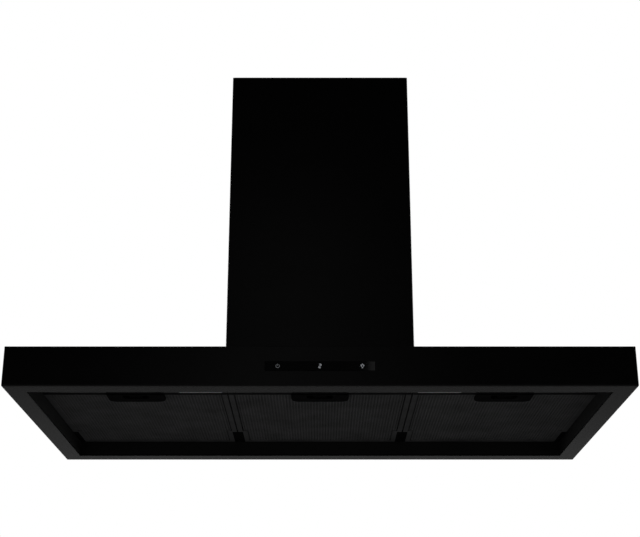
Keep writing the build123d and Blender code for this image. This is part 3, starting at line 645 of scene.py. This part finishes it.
def outer_sheet(plan, face, inwards):
    """A pierced sheet and its plain edges, at one face of a filter. inwards is 1 or -1."""
    crown = face + inwards * 0.05 * MM
    lip = face + inwards * 0.15 * MM
    levels = (crown, lip, lip + inwards * 0.25 * MM, face + inwards * 0.5 * MM)
    sheet = expanded_sheet(plan, CELL_COLUMN, CELL_ROW, levels, HOLE_SHARE)
    edges = hem(plan, *sorted((crown, face + inwards * 0.4 * MM)))
    return join([sheet, edges])


def grease_mesh(side):
    """The lower sheet, the pack inside and the upper sheet of one filter."""
    plan = FilterPlan(side)
    body = f"filter_{side}"
    lower = outer_sheet(plan, plan.bottom, 1)
    piece = build(f"grease_mesh_lower_{side}", *lower, "filter_mesh", body)
    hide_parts(f"filter_mesh_{side}")
    upper = outer_sheet(plan, plan.top, -1)
    build(f"grease_mesh_upper_{side}", *upper, "filter_mesh", body)
    for index, share in enumerate(CORE_SHARES):
        level = plan.bottom + share * (plan.top - plan.bottom)
        levels = (level, level + 0.2 * MM, level + 0.3 * MM, level + 0.5 * MM)
        column, row = (6.1 + index) * MM, (4.6 + index) * MM
        core = expanded_sheet(plan, column, row, levels, HOLE_SHARE)
        build(f"grease_mesh_core_{side}_{index + 1}", *core, "mesh_core", body, "filter_mesh")
    # A dark sheet of painted shade along the filter's front border, where the front rim shades it.
    front_shade_sheet(plan, side)


for side in SIDES:
    grease_mesh(side)

# --- Camera, floor and light ----------------------------------------------------------------------

scene = bpy.context.scene
scene.view_settings.view_transform = "Standard"
scene.view_settings.look = "None"

CAMERA_LENS = 71.2
CAMERA_BACK = 1.7264
CAMERA_BELOW = 0.4676
CAMERA_TILT = 110.45

camera_data = bpy.data.cameras.new("camera")
camera = bpy.data.objects.new("camera", camera_data)
scene.collection.objects.link(camera)
camera_data.sensor_width = 36.0
camera_data.lens = CAMERA_LENS
camera.location = (0.0, cad_low.y - CAMERA_BACK, cad_low.z - CAMERA_BELOW)
camera.rotation_euler = (math.radians(CAMERA_TILT), 0.0, 0.0)
scene.camera = camera

FLOOR_LEVEL = -3.3
FLOOR_SIZE = 80.0

# The floor and the room show white to the camera. These are their strengths in reflections.
NEAR_GLOW = 0.073
REAR_GLOW = 0.014
FAR_GLOW = 0.172
SIDE_GLOW = 0.2
ROOM_GLOW = 0.0012
REAR_ROOM_GLOW = 0.3
OVERHEAD_GLOW = 0.3
SIDE_ROOM_GLOW = 0.16


def pick_for_camera(tree, kind, seen, strength):
    """One strength where the camera looks straight at it, another in reflections and light."""
    path = add(tree, "ShaderNodeLightPath")
    white = add(tree, kind, {"Color": (1, 1, 1, 1), "Strength": seen})
    soft = add(tree, kind, {"Color": (1, 1, 1, 1)})
    tree.links.new(strength, soft.inputs["Strength"])
    pick = add(tree, "ShaderNodeMixShader")
    tree.links.new(path.outputs["Is Camera Ray"], pick.inputs["Fac"])
    tree.links.new(soft.outputs[0], pick.inputs[1])
    tree.links.new(white.outputs[0], pick.inputs[2])
    return pick.outputs["Shader"]


def studio_floor():
    """A pale floor that reads as the backdrop's white, and lights the hood softly from below.

    In reflections it is bright under the hood, dim around that, and bright again far behind
    and far to the left and right.
    """
    bpy.ops.mesh.primitive_plane_add(size=FLOOR_SIZE, location=(0, 0, FLOOR_LEVEL))
    floor = bpy.context.object
    floor.name = "studio_floor"
    material = bpy.data.materials.new("studio_floor")
    material.use_nodes = True
    tree = material.node_tree
    tree.nodes.clear()
    where = add(tree, "ShaderNodeTexCoord").outputs["Object"]
    length = add(tree, "ShaderNodeVectorMath", operation="LENGTH")
    tree.links.new(where, length.inputs[0])
    distance = length.outputs["Value"]
    parts = add(tree, "ShaderNodeSeparateXYZ")
    tree.links.new(where, parts.inputs["Vector"])
    sideways = math_node(tree, "DIVIDE", math_node(tree, "ABSOLUTE", parts.outputs["X"]), distance)
    aside = remap(tree, sideways, 0.0, 1.0, 0.5, 0.75)
    near = remap(tree, distance, NEAR_GLOW, REAR_GLOW, 4.0, 8.0)
    far = remap(tree, distance, 0.0, FAR_GLOW - REAR_GLOW, 10.5, 14.5)
    around = math_node(tree, "MULTIPLY", aside, remap(tree, distance, 0.0, SIDE_GLOW, 8.0, 14.0))
    level = math_node(tree, "ADD", math_node(tree, "ADD", near, far), around)
    out = add(tree, "ShaderNodeOutputMaterial")
    tree.links.new(pick_for_camera(tree, "ShaderNodeEmission", 1.0, level), out.inputs["Surface"])
    floor.data.materials.append(material)


def studio_world():
    """White where the camera sees it. In reflections, dim in front and pale everywhere else."""
    world = bpy.data.worlds.new("studio")
    scene.world = world
    world.use_nodes = True
    tree = world.node_tree
    tree.nodes.clear()
    way = add(tree, "ShaderNodeTexCoord").outputs["Generated"]
    parts = add(tree, "ShaderNodeSeparateXYZ")
    tree.links.new(way, parts.inputs["Vector"])
    rear = remap(tree, parts.outputs["Y"], ROOM_GLOW, REAR_ROOM_GLOW, 0.0, 0.5)
    above = remap(tree, parts.outputs["Z"], 0.0, OVERHEAD_GLOW, 0.4, 0.9)
    behind = remap(tree, parts.outputs["Y"], 0.0, 1.0, -0.15, 0.05)
    overhead = math_node(tree, "MULTIPLY", above, behind)
    sideways = math_node(tree, "ABSOLUTE", parts.outputs["X"])
    beside = remap(tree, sideways, 0.0, SIDE_ROOM_GLOW, 0.55, 0.85)
    level = math_node(tree, "MAXIMUM", math_node(tree, "MAXIMUM", rear, overhead), beside)
    out = add(tree, "ShaderNodeOutputWorld")
    tree.links.new(pick_for_camera(tree, "ShaderNodeBackground", 1.0, level), out.inputs["Surface"])


def softbox(name, place, aim, size, power):
    """A rectangular soft light at a place, aimed at a point."""
    data = bpy.data.lights.new(name, "AREA")
    data.shape = "RECTANGLE"
    data.size, data.size_y = size
    data.energy = power
    light = bpy.data.objects.new(name, data)
    scene.collection.objects.link(light)
    light.location = place
    light.rotation_euler = (Vector(aim) - Vector(place)).to_track_quat("-Z", "Y").to_euler()
    light.visible_camera = False


studio_floor()
studio_world()
middle = (0.0, 0.0, (cad_low.z + cad_high.z) / 2)
front_middle = (0.0, cad_low.y, mark_z)
softbox("front_low", (-0.18, -2.0, -0.27), front_middle, (0.25, 0.25), 0.085)
softbox("front_high", (-0.08, -2.0, 0.28), front_middle, (0.25, 0.42), 0.072)
softbox("strip_sheen", (0.24, -2.0, -0.02), front_middle, (0.2, 0.1), 0.01)
softbox("left_box", (-2.6, 0.9, 0.25), middle, (1.2, 1.0), 25.0)
softbox("right_box", (2.6, 0.9, 0.25), middle, (1.2, 1.0), 25.0)
softbox("back_box", (0.0, 3.2, 0.6), middle, (2.4, 0.9), 30.0)
